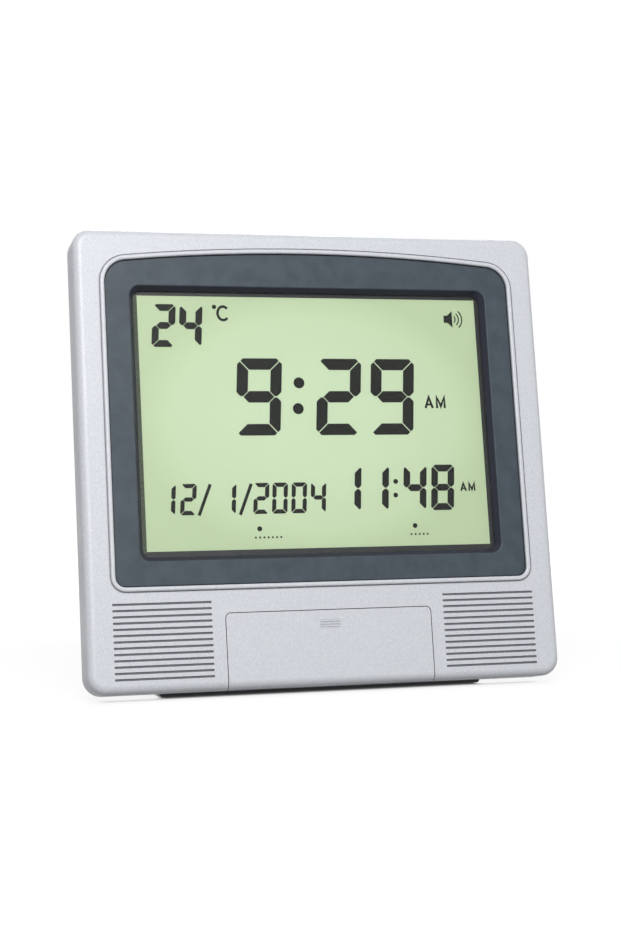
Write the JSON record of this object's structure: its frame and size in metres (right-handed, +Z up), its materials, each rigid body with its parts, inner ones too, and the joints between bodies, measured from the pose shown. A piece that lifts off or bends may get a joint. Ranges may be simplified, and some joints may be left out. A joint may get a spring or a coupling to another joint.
{
  "type": "digital prayer-time clock",
  "caption": "Leaning digital clock with a wide grey-bezelled display, louvred speaker grilles, a drop-down control flap and a fold-out rear stand leg.",
  "frame": {"origin": "centre of the clock's bounding box on the table plane, between its base pads and its stand leg", "axes": "+X to the right seen from the front, +Y from the face towards the back, +Z up; the face leans back by 9 degrees about X"},
  "size_m": [0.29, 0.082, 0.2762],
  "materials": {
    "silver_case": "fine silver metallic lacquer on ABS",
    "grey_bezel": "satin blue-grey ABS",
    "clear_window": "clear acrylic",
    "black_print": "black printed border",
    "display_glass": "green-grey liquid crystal panel",
    "light_guide": "translucent acrylic",
    "white_plastic": "moulded white plastic",
    "pink_rubber": "striped conductive rubber",
    "circuit_board": "green solder mask on glass-fibre board",
    "black_resin": "black epoxy",
    "bright_steel": "zinc-plated steel",
    "capacitor_can": "sleeved aluminium can",
    "black_steel": "black plated steel",
    "dark_tray": "textured dark grey ABS",
    "grey_rubber": "silicone rubber",
    "dark_case": "textured dark grey ABS",
    "black_rubber": "black rubber",
    "cell_wrap": "plain coloured cell sleeve",
    "key_rubber": "light grey keys",
    "speaker_paper": "black paper cone",
    "magnet": "ferrite magnet with plated yoke"
  },
  "bodies": {
    "case": {"backlight_strip": "white_plastic", "base_foot_left": "black_rubber", "base_foot_right": "black_rubber", "battery_1": "cell_wrap", "battery_2": "cell_wrap", "battery_3": "cell_wrap", "battery_4": "cell_wrap", "battery_contacts": "bright_steel", "battery_springs": "bright_steel", "board_capacitors": "capacitor_can", "board_screws": "bright_steel", "case_screws": "black_steel", "control_tray": "dark_tray", "display_bezel": "grey_bezel", "display_screws": "bright_steel", "display_window": "clear_window", "door_hinge_pins": "bright_steel", "front_housing": "silver_case", "key_board": "circuit_board", "key_board_screws": "bright_steel", "latch_case": "dark_tray", "lcd_glass": "display_glass", "lcd_holder": "white_plastic", "light_guide": "light_guide", "main_board": "circuit_board", "processor_chip": "black_resin", "quartz_crystal": "bright_steel", "rear_housing": "dark_case", "rubber_keypad": "grey_rubber", "speaker_left_basket": "black_steel", "speaker_left_cone": "speaker_paper", "speaker_left_magnet": "magnet", "speaker_right_basket": "black_steel", "speaker_right_cone": "speaker_paper", "speaker_right_magnet": "magnet", "stand_pins": "bright_steel", "temperature_sensor": "black_resin", "window_mask": "black_print", "zebra_connector": "pink_rubber"},
    "door": {"flap_door": "silver_case"},
    "latch": {"latch_plunger": "white_plastic"},
    "cover": {"battery_cover": "dark_case"},
    "stand": {"stand_leg": "dark_case", "stand_pad": "black_rubber"},
    "key_1": {"key_1": "key_rubber"},
    "key_2": {"key_2": "key_rubber"},
    "key_3": {"key_3": "key_rubber"},
    "key_4": {"key_4": "key_rubber"},
    "key_5": {"key_5": "key_rubber"},
    "key_6": {"key_6": "key_rubber"},
    "key_7": {"key_7": "key_rubber"},
    "key_8": {"key_8": "key_rubber"}
  },
  "joints": [
    {"name": "door_hinge", "type": "hinge", "parent": "case", "child": "door", "pos_m": [0, -0.03596, 0.01008], "axis": [1, 0, 0], "range_deg": [0, 95]},
    {"name": "latch_press", "type": "slide", "parent": "case", "child": "latch", "axis": [0, 0.9877, -0.1564], "range_m": [0, 0.0015], "stiffness_N_per_m": 400},
    {"name": "cover_slide", "type": "slide", "parent": "case", "child": "cover", "axis": [1, 0, 0], "range_m": [0, 0.066]},
    {"name": "stand_fold", "type": "hinge", "parent": "case", "child": "stand", "pos_m": [0, 0.021, 0.11273], "axis": [1, 0, 0], "range_deg": [-18, 0]},
    {"name": "key_1_press", "type": "slide", "parent": "case", "child": "key_1", "axis": [0, 0.9877, -0.1564], "range_m": [0, 0.0008], "stiffness_N_per_m": 1200},
    {"name": "key_2_press", "type": "slide", "parent": "case", "child": "key_2", "axis": [0, 0.9877, -0.1564], "range_m": [0, 0.0008], "stiffness_N_per_m": 1200},
    {"name": "key_3_press", "type": "slide", "parent": "case", "child": "key_3", "axis": [0, 0.9877, -0.1564], "range_m": [0, 0.0008], "stiffness_N_per_m": 1200},
    {"name": "key_4_press", "type": "slide", "parent": "case", "child": "key_4", "axis": [0, 0.9877, -0.1564], "range_m": [0, 0.0008], "stiffness_N_per_m": 1200},
    {"name": "key_5_press", "type": "slide", "parent": "case", "child": "key_5", "axis": [0, 0.9877, -0.1564], "range_m": [0, 0.0008], "stiffness_N_per_m": 1200},
    {"name": "key_6_press", "type": "slide", "parent": "case", "child": "key_6", "axis": [0, 0.9877, -0.1564], "range_m": [0, 0.0008], "stiffness_N_per_m": 1200},
    {"name": "key_7_press", "type": "slide", "parent": "case", "child": "key_7", "axis": [0, 0.9877, -0.1564], "range_m": [0, 0.0008], "stiffness_N_per_m": 1200},
    {"name": "key_8_press", "type": "slide", "parent": "case", "child": "key_8", "axis": [0, 0.9877, -0.1564], "range_m": [0, 0.0008], "stiffness_N_per_m": 1200}
  ]
}
